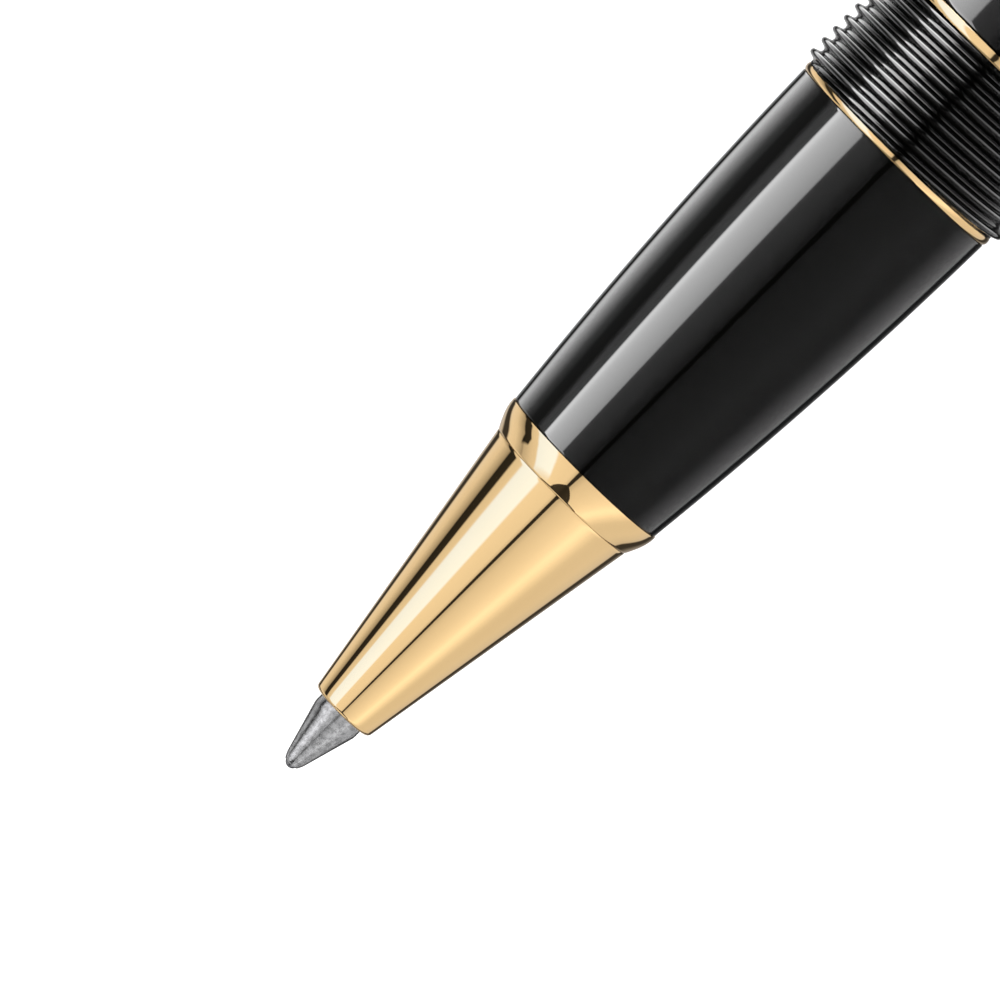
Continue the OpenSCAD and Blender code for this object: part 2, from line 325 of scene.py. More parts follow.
def threaded_sleeve(name, x0, x1, bore, outline, facets, start=0):
    """Winds a right-handed thread round the pen's axis, trims it at both ends and bores it.

    start moves the thread along the axis, which is how far it has turned at the front.
    """
    lead = outline[-1][0]
    first = x0 - 2 * lead + start
    obj = new_point(name)
    bpy.ops.transform.translate(value=(first, 0, outline[0][1]))
    for here, there in zip(outline, outline[1:]):
        bpy.ops.mesh.extrude_region_move(
            TRANSFORM_OT_translate={"value": (there[0] - here[0], 0, there[1] - here[1])}
        )
    end_edit()
    bpy.ops.object.modifier_add(type="SCREW")
    screw = obj.modifiers[-1]
    screw.axis = "X"
    screw.angle = 2 * math.pi
    screw.screw_offset = lead
    screw.iterations = math.ceil((x1 - first) / lead) + 1
    screw.steps = facets
    screw.render_steps = facets
    bpy.ops.object.modifier_apply(modifier=screw.name)
    start_edit(obj)
    bpy.ops.mesh.remove_doubles(threshold=1e-7)
    bpy.ops.mesh.select_all(action="SELECT")
    bpy.ops.mesh.bisect(
        plane_co=(x0, 0, 0), plane_no=(1, 0, 0), use_fill=True, clear_inner=True
    )
    bpy.ops.mesh.select_all(action="SELECT")
    bpy.ops.mesh.bisect(
        plane_co=(x1, 0, 0), plane_no=(1, 0, 0), use_fill=True, clear_outer=True
    )
    bpy.ops.mesh.select_all(action="SELECT")
    bpy.ops.mesh.normals_make_consistent(inside=False)
    end_edit()
    length = x1 - x0
    drill = turned(
        "drill",
        [(x0 - length, 0), (x0 - length, bore), (x1 + length, bore), (x1 + length, 0)],
        facets, closed=False,
    )
    combine(obj, drill, "DIFFERENCE")
    return obj


def combine(obj, other, operation, smooth=40):
    """Cuts or joins one solid with another, which is used up."""
    deselect_all()
    bpy.context.view_layer.objects.active = obj
    obj.select_set(True)
    bpy.ops.object.modifier_add(type="BOOLEAN")
    step = obj.modifiers[-1]
    step.operation = operation
    step.solver = "EXACT"
    step.object = other
    bpy.ops.object.modifier_apply(modifier=step.name)
    bpy.data.objects.remove(other)
    bpy.ops.object.shade_smooth_by_angle(angle=math.radians(smooth))


# Materials


def new_material(name):
    """An empty node material with its shader and output, and a helper that adds nodes."""
    mat = bpy.data.materials.new("pen_" + name)
    mat.use_nodes = True
    tree = mat.node_tree
    tree.nodes.clear()
    out = tree.nodes.new("ShaderNodeOutputMaterial")
    shader = tree.nodes.new("ShaderNodeBsdfPrincipled")
    tree.links.new(shader.outputs["BSDF"], out.inputs["Surface"])
    return mat, tree, shader


def stretched_noise(tree, stretch, scale, detail=3.0, roughness=0.55):
    """Noise on object coordinates, stretched by a vector; returns its value socket."""
    coords = tree.nodes.new("ShaderNodeTexCoord")
    mapping = tree.nodes.new("ShaderNodeMapping")
    mapping.inputs["Scale"].default_value = stretch
    noise = tree.nodes.new("ShaderNodeTexNoise")
    noise.inputs["Scale"].default_value = scale
    noise.inputs["Detail"].default_value = detail
    noise.inputs["Roughness"].default_value = roughness
    tree.links.new(coords.outputs["Object"], mapping.inputs["Vector"])
    tree.links.new(mapping.outputs["Vector"], noise.inputs["Vector"])
    return noise.outputs["Fac"]


def ranged(tree, value, low, high, from_low=0.3, from_high=0.7):
    node = tree.nodes.new("ShaderNodeMapRange")
    node.inputs["From Min"].default_value = from_low
    node.inputs["From Max"].default_value = from_high
    node.inputs["To Min"].default_value = low
    node.inputs["To Max"].default_value = high
    tree.links.new(value, node.inputs["Value"])
    return node.outputs["Result"]


def two_tone(tree, value, colour_a, colour_b):
    mix = tree.nodes.new("ShaderNodeMix")
    mix.data_type = "RGBA"
    mix.inputs["A"].default_value = (*colour_a, 1)
    mix.inputs["B"].default_value = (*colour_b, 1)
    tree.links.new(value, mix.inputs["Factor"])
    return mix.outputs["Result"]


def add_bump(tree, shader, value, height):
    bump = tree.nodes.new("ShaderNodeBump")
    bump.inputs["Distance"].default_value = height
    bump.inputs["Strength"].default_value = 1.0
    tree.links.new(value, bump.inputs["Height"])
    tree.links.new(bump.outputs["Normal"], shader.inputs["Normal"])


def gold_plate(finishes):
    """Polished plate: faint turning lines under the polish and a slight drift in tone."""
    mat, tree, shader = new_material("gold_plate")
    gold = tuple(finishes.gold)
    shader.inputs["Metallic"].default_value = 1.0
    drift = stretched_noise(tree, (1, 1, 1), 220)
    deeper = (gold[0] * 0.97, gold[1] * 0.95, gold[2] * 0.9)
    tree.links.new(two_tone(tree, drift, gold, deeper), shader.inputs["Base Color"])
    haze = stretched_noise(tree, (6, 1, 1), 900, detail=5)
    level = finishes.gold_roughness
    tree.links.new(ranged(tree, haze, level * 0.7, level * 1.4), shader.inputs["Roughness"])
    lines = stretched_noise(tree, (40, 1, 1), 420, detail=4)
    add_bump(tree, shader, lines, 0.00022 * MM)
    return mat


def black_resin(finishes):
    """Deep polished resin: a hair of haze and very fine polishing marks."""
    mat, tree, shader = new_material("black_resin")
    resin = tuple(finishes.resin)
    shader.inputs["IOR"].default_value = 1.22
    cloud = stretched_noise(tree, (1, 1, 1), 160)
    warmer = (resin[0] * 1.5, resin[1] * 1.35, resin[2] * 1.25)
    tree.links.new(two_tone(tree, cloud, resin, warmer), shader.inputs["Base Color"])
    haze = stretched_noise(tree, (1, 1, 1), 1500, detail=6)
    level = finishes.resin_roughness
    tree.links.new(ranged(tree, haze, level * 0.7, level * 1.5), shader.inputs["Roughness"])
    marks = stretched_noise(tree, (25, 1, 1), 300, detail=4)
    add_bump(tree, shader, marks, 0.00012 * MM)
    return mat


def nickel_point(finishes):
    """Turned nickel silver: tool rings, small pits and a soft satin."""
    mat, tree, shader = new_material("nickel_point")
    nickel = tuple(finishes.nickel)
    shader.inputs["Metallic"].default_value = 1.0
    mottle = stretched_noise(tree, (1, 1, 1), 3600, detail=6, roughness=0.65)
    darker = tuple(c * 0.6 for c in nickel)
    tree.links.new(
        two_tone(tree, ranged(tree, mottle, 0, 1, 0.4, 0.62), nickel, darker),
        shader.inputs["Base Color"],
    )
    rings = stretched_noise(tree, (30, 1, 1), 700, detail=5, roughness=0.7)
    tree.links.new(ranged(tree, rings, 0.12, 0.26), shader.inputs["Roughness"])
    pits = stretched_noise(tree, (4, 1, 1), 3800, detail=6, roughness=0.7)
    add_bump(tree, shader, pits, 0.004 * MM)
    return mat


def carbide_ball():
    """The rolling ball: ground, with ink drying in its texture."""
    mat, tree, shader = new_material("carbide_ball")
    shader.inputs["Metallic"].default_value = 1.0
    film = stretched_noise(tree, (1, 1, 1), 4200, detail=5)
    tree.links.new(
        two_tone(tree, ranged(tree, film, 0, 1, 0.42, 0.6), (0.3, 0.3, 0.31), (0.1, 0.1, 0.11)),
        shader.inputs["Base Color"],
    )
    tree.links.new(ranged(tree, film, 0.18, 0.32), shader.inputs["Roughness"])
    add_bump(tree, shader, film, 0.003 * MM)
    return mat


def machined_brass():
    """Threaded brass inside the pen: bright tool rings over a darker ground."""
    mat, tree, shader = new_material("turned_brass")
    shader.inputs["Metallic"].default_value = 1.0
    rings = stretched_noise(tree, (60, 1, 1), 300, detail=5, roughness=0.7)
    tree.links.new(
        two_tone(tree, rings, (0.68, 0.5, 0.22), (0.5, 0.35, 0.13)), shader.inputs["Base Color"]
    )
    tree.links.new(ranged(tree, rings, 0.2, 0.36), shader.inputs["Roughness"])
    add_bump(tree, shader, rings, 0.004 * MM)
    return mat


def moulded_polymer(name, light, dark, texture_scale=2500):
    """Satin moulded plastic with a fine grain."""
    mat, tree, shader = new_material(name)
    grain = stretched_noise(tree, (1, 1, 1), texture_scale, detail=5)
    tree.links.new(two_tone(tree, grain, light, dark), shader.inputs["Base Color"])
    tree.links.new(ranged(tree, grain, 0.32, 0.5), shader.inputs["Roughness"])
    add_bump(tree, shader, grain, 0.004 * MM)
    return mat


def ink_fibre():
    """Bundled fibres soaked with ink, running along the refill."""
    mat, tree, shader = new_material("ink_fibre")
    fibres = stretched_noise(tree, (0.04, 1, 1), 9000, detail=4, roughness=0.7)
    tree.links.new(
        two_tone(tree, ranged(tree, fibres, 0, 1, 0.35, 0.65), (0.01, 0.012, 0.06), (0.05, 0.06, 0.2)),
        shader.inputs["Base Color"],
    )
    shader.inputs["Roughness"].default_value = 0.8
    add_bump(tree, shader, fibres, 0.03 * MM)
    return mat


def spring_wire():
    """Drawn steel wire with die lines."""
    mat, tree, shader = new_material("spring_steel")
    shader.inputs["Metallic"].default_value = 1.0
    draw = stretched_noise(tree, (1, 1, 1), 3000, detail=4)
    tree.links.new(
        two_tone(tree, draw, (0.6, 0.6, 0.6), (0.42, 0.42, 0.43)), shader.inputs["Base Color"]
    )
    tree.links.new(ranged(tree, draw, 0.2, 0.35), shader.inputs["Roughness"])
    add_bump(tree, shader, draw, 0.002 * MM)
    return mat


def materials():
    """The pen's materials by slot name, made once."""
    finishes = bpy.context.scene.pen_finishes
    makers = {
        "gold_plate": lambda: gold_plate(finishes),
        "black_resin": lambda: black_resin(finishes),
        "nickel_point": lambda: nickel_point(finishes),
        "carbide_ball": carbide_ball,
        "turned_brass": machined_brass,
        "black_polymer": lambda: moulded_polymer(
            "black_polymer", (0.012, 0.012, 0.013), (0.022, 0.022, 0.023)
        ),
        "white_polymer": lambda: moulded_polymer(
            "white_polymer", (0.8, 0.8, 0.78), (0.7, 0.7, 0.68)
        ),
        "ink_fibre": ink_fibre,
        "spring_steel": spring_wire,
    }
    return {
        name: bpy.data.materials.get("pen_" + name) or make() for name, make in makers.items()
    }


def sizes():
    return bpy.context.scene.pen_sizes


# Pieces of the refill and the section


class PEN_OT_writing_point(Operator):
    """Turns the refill's metal point and the ball it holds"""

    bl_idname = "pen.writing_point"
    bl_label = "Writing Point"

    def execute(self, context):
        s = sizes()
        shank = radius("refill_point")
        lip = front("refill_point")
        cone_end = 3.2 * MM
        ball = radius("refill_ball")
        point = turned(
            "writing_point",
            [
                (lip + 0.25 * MM, 0.2 * MM),
                (lip + 0.12 * MM, ball + 0.005 * MM),
                (lip, ball * 0.95),
                (lip - 0.005 * MM, 0.365 * MM),
                (lip + 0.03 * MM, 0.4 * MM),
                (lip + 0.1 * MM, 0.438 * MM),
                (lip + 0.2 * MM, 0.492 * MM),
                (lip + 0.33 * MM, 0.548 * MM),
                (cone_end - 0.12 * MM, shank - 0.033 * MM),
                (cone_end, shank - 0.005 * MM),
                (cone_end + 0.12 * MM, shank),
                (rear("refill_point"), shank),
                (rear("refill_point"), 0.6 * MM),
                (2.0 * MM, 0.6 * MM),
                (2.0 * MM, 0.2 * MM),
            ],
            s.facets,
        )
        mats = materials()
        finish_piece(point, "refill", mats["nickel_point"], "nickel_point", "refill_point")
        rolling = turned(
            "rolling_ball", arc(ball, 0, ball, ball, 180, 0, 32), s.facets // 2, closed=False
        )
        finish_piece(rolling, "ball", mats["carbide_ball"], "carbide_ball", "refill_ball")
        return {"FINISHED"}


class PEN_OT_nose_cone(Operator):
    """Turns the gold nose cone with its rounded front edge"""

    bl_idname = "pen.nose_cone"
    bl_label = "Nose Cone"

    def execute(self, context):
        s = sizes()
        x0, x1, spigot_end = front("nose_cone"), front("collar_ring"), rear("nose_cone")
        r0, r1 = s.nose_front_radius, radius("nose_cone")
        bore = radius("refill_point") + 0.05 * MM
        slope = (r1 - r0) / (x1 - x0)
        edge = s.nose_edge_round
        lean = math.degrees(math.atan(slope))
        centre_r = r0 + slope * edge - edge / math.cos(math.atan(slope))
        face = arc(x0 + edge, centre_r, edge, edge, 180, 90 + lean, 10)
        start_x, start_r = face[-1]
        outline = [
            (x0 + 0.12 * MM, bore),
            (x0, bore + 0.07 * MM),
            *face,
            (start_x + 0.3 * MM, start_r + (r1 - start_r) * 0.3 * MM / (x1 - start_x)),
            ((start_x + x1) / 2, (start_r + r1) / 2),
            (x1 - 0.16 * MM, r1 - slope * 0.16 * MM),
            (x1 - 0.04 * MM, r1 - slope * 0.04 * MM),
            (x1 - 0.012 * MM, r1 - 0.02 * MM),
            (x1, r1 - 0.06 * MM),
            (x1, 3.55 * MM),
            (spigot_end, 3.55 * MM),
            (spigot_end, 3.05 * MM),
            (15.95 * MM, 3.05 * MM),
            (14.45 * MM, 2.0 * MM),
            (8.2 * MM, 2.0 * MM),
            (8.2 * MM, bore),
        ]
        cone = turned("nose_cone_shell", outline, s.facets)
        finish_piece(cone, "section", materials()["gold_plate"], "gold_plate", "nose_cone")
        return {"FINISHED"}


class PEN_OT_collar_ring(Operator):
    """Turns the bulged gold ring between the nose cone and the grip"""

    bl_idname = "pen.collar_ring"
    bl_label = "Collar Ring"

    def execute(self, context):
        s = sizes()
        x0, x1 = front("collar_ring"), rear("collar_ring")
        full = radius("collar_ring")
        edge = radius("nose_cone")
        steps = 28
        bulge = [
            (x0 + (x1 - x0 - 0.05 * MM) * i / steps,
             edge + (full - edge) * math.sin(math.pi / 2 * i / steps))
            for i in range(steps + 1)
        ]
        outline = [
            (x1, 3.55 * MM),
            (x0, 3.55 * MM),
            (x0, edge - 0.12 * MM),
            (x0 + 0.004 * MM, edge - 0.02 * MM),
            *bulge[1:],
            (x1 - 0.015 * MM, full - 0.012 * MM),
            (x1, full - 0.06 * MM),
        ]
        ring = turned("collar_band", outline, s.facets)
        finish_piece(ring, "section", materials()["gold_plate"], "gold_plate", "collar_ring")
        return {"FINISHED"}


class PEN_OT_grip(Operator):
    """Turns the black grip, swelling along one long curve"""

    bl_idname = "pen.grip"
    bl_label = "Grip"

    def execute(self, context):
        s = sizes()
        x0, x1 = front("grip_sleeve"), rear("grip_sleeve")
        rear_r, front_r = radius("grip_sleeve"), 4.67 * MM
        rear_slope = 0.018
        length = x1 - x0
        curve = (rear_r - front_r - rear_slope * length) / length**2

        def wall(x):
            return rear_r - rear_slope * (x1 - x) - curve * (x1 - x) ** 2

        steps = 32
        outline = [
            (x1, 4.05 * MM),
            (x0, 4.05 * MM),
            (x0, wall(x0) - 0.05 * MM),
            (x0 + 0.02 * MM, wall(x0) - 0.015 * MM),
            (x0 + 0.06 * MM, wall(x0 + 0.06 * MM)),
            *[(x, wall(x)) for x in (
                x0 + 0.12 * MM + (length - 0.24 * MM) * i / steps for i in range(steps + 1)
            )],
            (x1 - 0.06 * MM, wall(x1 - 0.06 * MM)),
            (x1 - 0.02 * MM, rear_r - 0.015 * MM),
            (x1, rear_r - 0.05 * MM),
        ]
        grip = turned("grip_shell", outline, s.facets)
        finish_piece(grip, "section", materials()["black_resin"], "black_resin", "grip_sleeve")
        return {"FINISHED"}


class PEN_OT_plain_rings(Operator):
    """Turns the thin gold rings of the section, barrel, tail and cap"""

    bl_idname = "pen.plain_rings"
    bl_label = "Plain Rings"

    def execute(self, context):
        s = sizes()
        gold = materials()["gold_plate"]
        rings = {
            "section_ring": ("section", 4.6 * MM, 0.16 * MM),
            "barrel_ring": ("barrel", 4.65 * MM, 0.14 * MM),
            "tail_ring": ("barrel", 3.3 * MM, 0.14 * MM),
            "cap_lip_ring": ("cap", 6.5 * MM, 0.16 * MM),
        }
        for node, (body, inner, bulge) in rings.items():
            full = radius(node)
            outline = ring_outline(front(node), rear(node), inner, full - bulge, full)
            piece = turned(node + "_band", outline, s.facets)
            finish_piece(piece, body, gold, "gold_plate", node)
        x0, x1, full = front("cap_band"), rear("cap_band"), radius("cap_band")
        band = turned(
            "wide_band",
            rounded([(x1, 7.0 * MM), (x0, 7.0 * MM), (x0, full), (x1, full)], 0.12 * MM, 6),
            s.facets,
        )
        finish_piece(band, "cap", gold, "gold_plate", "cap_band")
        return {"FINISHED"}


class PEN_OT_cap_thread(Operator):
    """Cuts the two-start cap thread round the black collar"""

    bl_idname = "pen.cap_thread"
    bl_label = "Cap Thread"

    def execute(self, context):
        s = sizes()
        outline = ridge_outline(
            s.thread_root, radius("thread_collar"), s.thread_pitch, s.thread_starts, 0.13, 0.26
        )
        collar = threaded_sleeve(
            "thread_ridges", front("thread_collar"), rear("thread_collar"), 4.6 * MM, outline,
            s.facets, start=s.thread_start,
        )
        finish_piece(
            collar, "section", materials()["black_resin"], "black_resin", "thread_collar"
        )
        return {"FINISHED"}


class PEN_OT_section_liner(Operator):
    """Turns the brass liner and cuts the thread that screws into the barrel"""

    bl_idname = "pen.section_liner"
    bl_label = "Section Liner"

    def execute(self, context):
        s = sizes()
        x0, x1 = front("section_liner"), rear("section_liner")
        step_x, thread_x = front("section_ring"), front("barrel_ring")
        outer, root = radius("section_liner"), radius("section_liner") - 0.4 * MM
        core = root - 0.05 * MM
        liner = turned(
            "liner_tube",
            [
                (x0, 3.55 * MM),
                (x0, 4.05 * MM),
                (step_x, 4.05 * MM),
                (step_x, outer),
                (thread_x, outer),
                (thread_x + 0.3 * MM, core),
                (x1, core),
                (x1, 3.1 * MM),
                (25 * MM, 3.1 * MM),
                (25 * MM, 3.55 * MM),
            ],
            s.facets,
        )
        thread = threaded_sleeve(
            "liner_thread", thread_x + 0.1 * MM, x1 - 0.5 * MM, root - 0.2 * MM,
            ridge_outline(root, outer, s.joint_thread_pitch, 1, 0.08, 0.28), s.facets // 2,
        )
        combine(liner, thread, "UNION")
        finish_piece(
            liner, "section", materials()["turned_brass"], "turned_brass", "section_liner"
        )
        return {"FINISHED"}


# Pieces of the barrel


class PEN_OT_barrel(Operator):
    """Turns the long black barrel and its tail cap"""

    bl_idname = "pen.barrel"
    bl_label = "Barrel and Tail"

    def execute(self, context):
        s = sizes()
        x0, x1 = front("barrel"), rear("barrel")
        full = radius("barrel")
        taper, tail_r = 72 * MM, radius("tail_ring") - 0.08 * MM
        drop = (full - tail_r) / (x1 - taper) ** 2
        steps = 36
        outline = [
            (x0, 5.4 * MM),
            (x0, full - 0.14 * MM),
            (x0 + 0.03 * MM, full - 0.05 * MM),
            (x0 + 0.1 * MM, full - 0.01 * MM),
            (x0 + 0.22 * MM, full),
            (x0 + 1.2 * MM, full),
            (taper - 4 * MM, full),
            *[
                (taper + (x1 - taper) * i / steps,
                 full - drop * ((x1 - taper) * i / steps) ** 2)
                for i in range(steps + 1)
            ],
            (x1, 3.3 * MM),
            (100 * MM, 3.3 * MM),
            (100 * MM, 4.4 * MM),
            (56 * MM, 4.4 * MM),
            (56 * MM, 5.4 * MM),
        ]
        resin = materials()["black_resin"]
        tube = turned("barrel_tube", outline, s.facets)
        finish_piece(tube, "barrel", resin, "black_resin", "barrel")

        base_x, end_x = rear("tail_ring"), rear("tail_cap")
        base_r = radius("tail_cap")
        side = 4 * MM
        dome_r = base_r - 0.45 * MM
        spigot = 3.3 * MM
        tail = turned(
            "tail_dome",
            [
                (front("tail_cap"), 0),
                (front("tail_cap"), spigot),
                (base_x, spigot),
                (base_x, base_r - 0.04 * MM),
                (base_x + 0.04 * MM, base_r),
                *arc(base_x + side, 0, end_x - base_x - side, dome_r, 90, 0, 24),
            ],
            s.facets,
            closed=False,
        )
        finish_piece(tail, "barrel", resin, "black_resin", "tail_cap")
        return {"FINISHED"}


class PEN_OT_refill_spring(Operator):
    """Winds the coil spring that pushes the refill forward"""

    bl_idname = "pen.refill_spring"
    bl_label = "Refill Spring"

    def execute(self, context):
        x0, x1 = rear("refill_plug") + 0.05 * MM, rear("refill_spring")
        wire, coil, turns = 0.25 * MM, 2.5 * MM, 5
        deselect_all()
        bpy.ops.mesh.primitive_circle_add(
            vertices=14, radius=wire, location=(x0 + wire, 0, coil), rotation=(math.pi / 2, 0, 0)
        )
        spring = context.object
        spring.name = "spring_coil"
        bpy.ops.object.transform_apply(location=True, rotation=True, scale=True)
        bpy.ops.object.modifier_add(type="SCREW")
        screw = spring.modifiers[-1]
        screw.axis = "X"
        screw.angle = 2 * math.pi
        screw.screw_offset = (x1 - x0 - 2 * wire) / turns
        screw.iterations = turns
        screw.steps = 48
        screw.render_steps = 48
        screw.use_smooth_shade = True
        bpy.ops.object.modifier_apply(modifier=screw.name)
        start_edit(spring)
        bpy.ops.mesh.remove_doubles(threshold=1e-8)
        bpy.ops.mesh.select_all(action="DESELECT")
        bpy.ops.mesh.select_non_manifold()
        bpy.ops.mesh.edge_face_add()
        bpy.ops.mesh.select_all(action="SELECT")
        bpy.ops.mesh.normals_make_consistent(inside=False)
        end_edit()
        spring.data.materials.append(materials()["spring_steel"])
        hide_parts("refill_spring")
        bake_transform(spring)
        return {"FINISHED"}


# Pieces of the cap


class PEN_OT_cap_shell(Operator):
    """Turns the cap's black shell with its inside thread and its finial"""

    bl_idname = "pen.cap_shell"
    bl_label = "Cap Shell and Finial"

    def execute(self, context):
        s = sizes()
        lip = front("cap_lip_ring")
        full = radius("cap_shell")
        full_x, top_x = lip + 12 * MM, rear("cap_shell")
        band_x, band_end = front("cap_band"), rear("cap_band")
        lip_drop, top_drop = 0.2 * MM, 0.95 * MM

        def wall(x):
            if x < full_x:
                return full - lip_drop * ((full_x - x) / (full_x - lip)) ** 2
            return full - top_drop * ((x - full_x) / (top_x - full_x)) ** 2

        steps = 32
        body_x = band_end + 0.1 * MM
        ridges = [
            (lip + 2.5 * MM + (i + part) * s.thread_pitch, r)
            for i in range(7, -1, -1)
            for part, r in ((0.62, 6.45 * MM), (0.44, 6.05 * MM), (0.31, 6.05 * MM), (0.13, 6.45 * MM))
        ]
        start = lip + 0.6 * MM
        outline = [
            (start, 6.5 * MM),
            (start, wall(start) - 0.04 * MM),
            (start + 0.04 * MM, wall(start)),
            ((start + band_x) / 2, wall((start + band_x) / 2)),
            (band_x - 0.05 * MM, wall(band_x)),
            (band_x, wall(band_x) - 0.05 * MM),
            (band_x, 7 * MM),
            (band_end, 7 * MM),
            (band_end, wall(band_end) - 0.05 * MM),
            (body_x - 0.05 * MM, wall(band_end)),
            *[(x, wall(x)) for x in (body_x + (top_x - body_x) * i / steps for i in range(steps))],
            (top_x - 0.06 * MM, wall(top_x)),
            (top_x, wall(top_x) - 0.06 * MM),
            (top_x, 2.05 * MM),
            (lip + 50.5 * MM, 2.05 * MM),
            (lip + 50.5 * MM, 5.6 * MM),
            (lip + 27 * MM, 5.6 * MM),
            (lip + 27 * MM, 6.3 * MM),
            (lip + 9 * MM, 6.3 * MM),
            *ridges,
            (lip + 2.5 * MM, 6.5 * MM),
        ]
        resin = materials()["black_resin"]
        shell = turned("cap_body", outline, s.facets)
        finish_piece(shell, "cap", resin, "black_resin", "cap_shell")

        x0, x1 = front("finial"), rear("finial")
        base = radius("finial")
        rim = 1 * MM
        stud = 2.05 * MM
        finial = turned(
            "finial_dome",
            [
                (lip + 61.5 * MM, 0),
                (lip + 61.5 * MM, stud),
                (x0, stud),
                (x0, base - 0.1 * MM),
                (x0 + 0.03 * MM, base - 0.03 * MM),
                (x0 + 0.1 * MM, base),
                *arc(x0 + rim, 0, x1 - x0 - rim, base, 90, 0, 30),
            ],
            s.facets,
            closed=False,
        )
        finish_piece(finial, "cap", resin, "black_resin", "finial")
        return {"FINISHED"}


class PEN_OT_clip(Operator):
    """Forms the clip ring and draws out the sprung clip with its rounded foot"""

    bl_idname = "pen.clip"
    bl_label = "Clip and Ring"

    def execute(self, context):
        s = sizes()
        gold = materials()["gold_plate"]
        x0, x1 = front("clip_ring"), rear("clip_ring")
        full = 6.7 * MM
        ring = turned(
            "clip_band",
            rounded([(x1, 2.05 * MM), (x0, 2.05 * MM), (x0, full), (x1, full)], 0.18 * MM, 6),
            s.facets,
        )
        clip_joint = next(j for j in frame["joints"] if j["name"] == "clip_lift")
        _, hinge_y, hinge_z = clip_joint["pos_m"]
        turn = math.atan2(-hinge_y, hinge_z)
        round_pen = Matrix.Rotation(turn, 4, "X")

        lug = self.drawn_bar(
            "clip_lug",
            [(full - 0.5 * MM, (x0 + x1) / 2, 3.0 * MM, 1.9 * MM),
             (7.25 * MM, (x0 + x1) / 2, 2.8 * MM, 1.7 * MM)],
            upright=True,
        )
        lug.data.transform(round_pen)
        deselect_all()
        ring.select_set(True)
        lug.select_set(True)
        context.view_layer.objects.active = ring
        bpy.ops.object.join()
        finish_piece(ring, "cap", gold, "gold_plate", "clip_ring")

        top = 9.1 * MM
        foot_x = front("clip") + 1.4 * MM
        stations = [
            (x1 - 0.08 * MM, 7.75 * MM, 2.7 * MM, 0.75 * MM),
            (x1 - 0.5 * MM, 8.15 * MM, 2.85 * MM, 1.05 * MM),
            (x1 - 1.4 * MM, 8.5 * MM, 2.85 * MM, 0.95 * MM),
            (x1 - 3.2 * MM, top - 0.42 * MM, 2.8 * MM, 0.84 * MM),
            (x1 - 12 * MM, top - 0.38 * MM, 2.6 * MM, 0.84 * MM),
            (foot_x + 12 * MM, top - 0.34 * MM, 2.25 * MM, 0.84 * MM),
            (foot_x + 3 * MM, top - 0.3 * MM, 2.05 * MM, 0.84 * MM),
            (foot_x + 0.6 * MM, top - 0.3 * MM, 1.95 * MM, 0.95 * MM),
            (foot_x - 0.9 * MM, top - 0.36 * MM, 1.6 * MM, 0.75 * MM),
            (foot_x - 1.25 * MM, top - 0.36 * MM, 0.9 * MM, 0.45 * MM),
        ]
        arm = self.drawn_bar("clip_arm", stations)
        foot_r, foot_h = 1.1 * MM, 8.7 * MM
        deselect_all()
        bpy.ops.mesh.primitive_uv_sphere_add(
            segments=48, ring_count=32, radius=foot_r, location=(foot_x, 0, foot_h)
        )
        foot = context.object
        bpy.ops.object.transform_apply(location=True, rotation=True, scale=True)
        start_edit(foot)
        bpy.ops.transform.resize(value=(1.1, 0.92, 1.0), center_override=(foot_x, 0, foot_h))
        end_edit()
        bpy.ops.object.shade_smooth()
        arm.select_set(True)
        context.view_layer.objects.active = arm
        bpy.ops.object.join()
        arm.data.transform(round_pen)
        finish_piece(arm, "clip", gold, "gold_plate", "clip")
        return {"FINISHED"}

    def drawn_bar(self, name, stations, upright=False):
        """A bar drawn through (place, height, width, thickness) stations and softened all over."""
        deselect_all()
        place, height, width, thick = stations[0]
        bpy.ops.mesh.primitive_plane_add(size=1, location=(0, 0, 0))
        bar = bpy.context.object
        bar.name = name
        bar.data.name = name
        start_edit(bar)
        if upright:
            bpy.ops.transform.resize(value=(thick, width, 1))
            bpy.ops.transform.translate(value=(height, 0, place))
        else:
            bpy.ops.transform.rotate(
                value=math.pi / 2, orient_axis="Y", center_override=(0, 0, 0)
            )
            bpy.ops.transform.resize(value=(1, width, thick), center_override=(0, 0, 0))
            bpy.ops.transform.translate(value=(place, 0, height))
        for new_place, new_height, new_width, new_thick in stations[1:]:
            if upright:
                move = (0, 0, new_place - place)
                grow = (new_thick / thick, new_width / width, 1)
                centre = (new_height, 0, new_place)
            else:
                move = (new_place - place, 0, new_height - height)
                grow = (1, new_width / width, new_thick / thick)
                centre = (new_place, 0, new_height)
            bpy.ops.mesh.extrude_region_move(TRANSFORM_OT_translate={"value": move})
            bpy.ops.transform.resize(value=grow, center_override=centre)
            place, height, width, thick = new_place, new_height, new_width, new_thick
        bpy.ops.mesh.select_all(action="SELECT")
        bpy.ops.mesh.normals_make_consistent(inside=False)
        end_edit()
        bpy.ops.object.modifier_add(type="BEVEL")
        bevel = bar.modifiers[-1]
        bevel.width = 0.2 * MM
        bevel.segments = 3
        bevel.limit_method = "ANGLE"
        bevel.angle_limit = math.radians(50)
        bpy.ops.object.modifier_apply(modifier=bevel.name)
        bpy.ops.object.modifier_add(type="SUBSURF")
        subsurf = bar.modifiers[-1]
        subsurf.levels = 2
        subsurf.render_levels = 2
        bpy.ops.object.modifier_apply(modifier=subsurf.name)
        bpy.ops.object.shade_smooth()
        return bar


class PEN_OT_inner_parts(Operator):
    """Gives the parts inside the pen their own finishes"""

    bl_idname = "pen.inner_parts"
    bl_label = "Inner Parts"

    def execute(self, context):
        mats = materials()
        slot_of = {e["node"]: e["material_slot"] for e in frame["record"]["subparts"]}
        for node, obj in frame["nodes"].items():
            if obj.hide_render:
                continue
            obj.data.materials.clear()
            obj.data.materials.append(mats[slot_of[node]])
        return {"FINISHED"}


# Stage


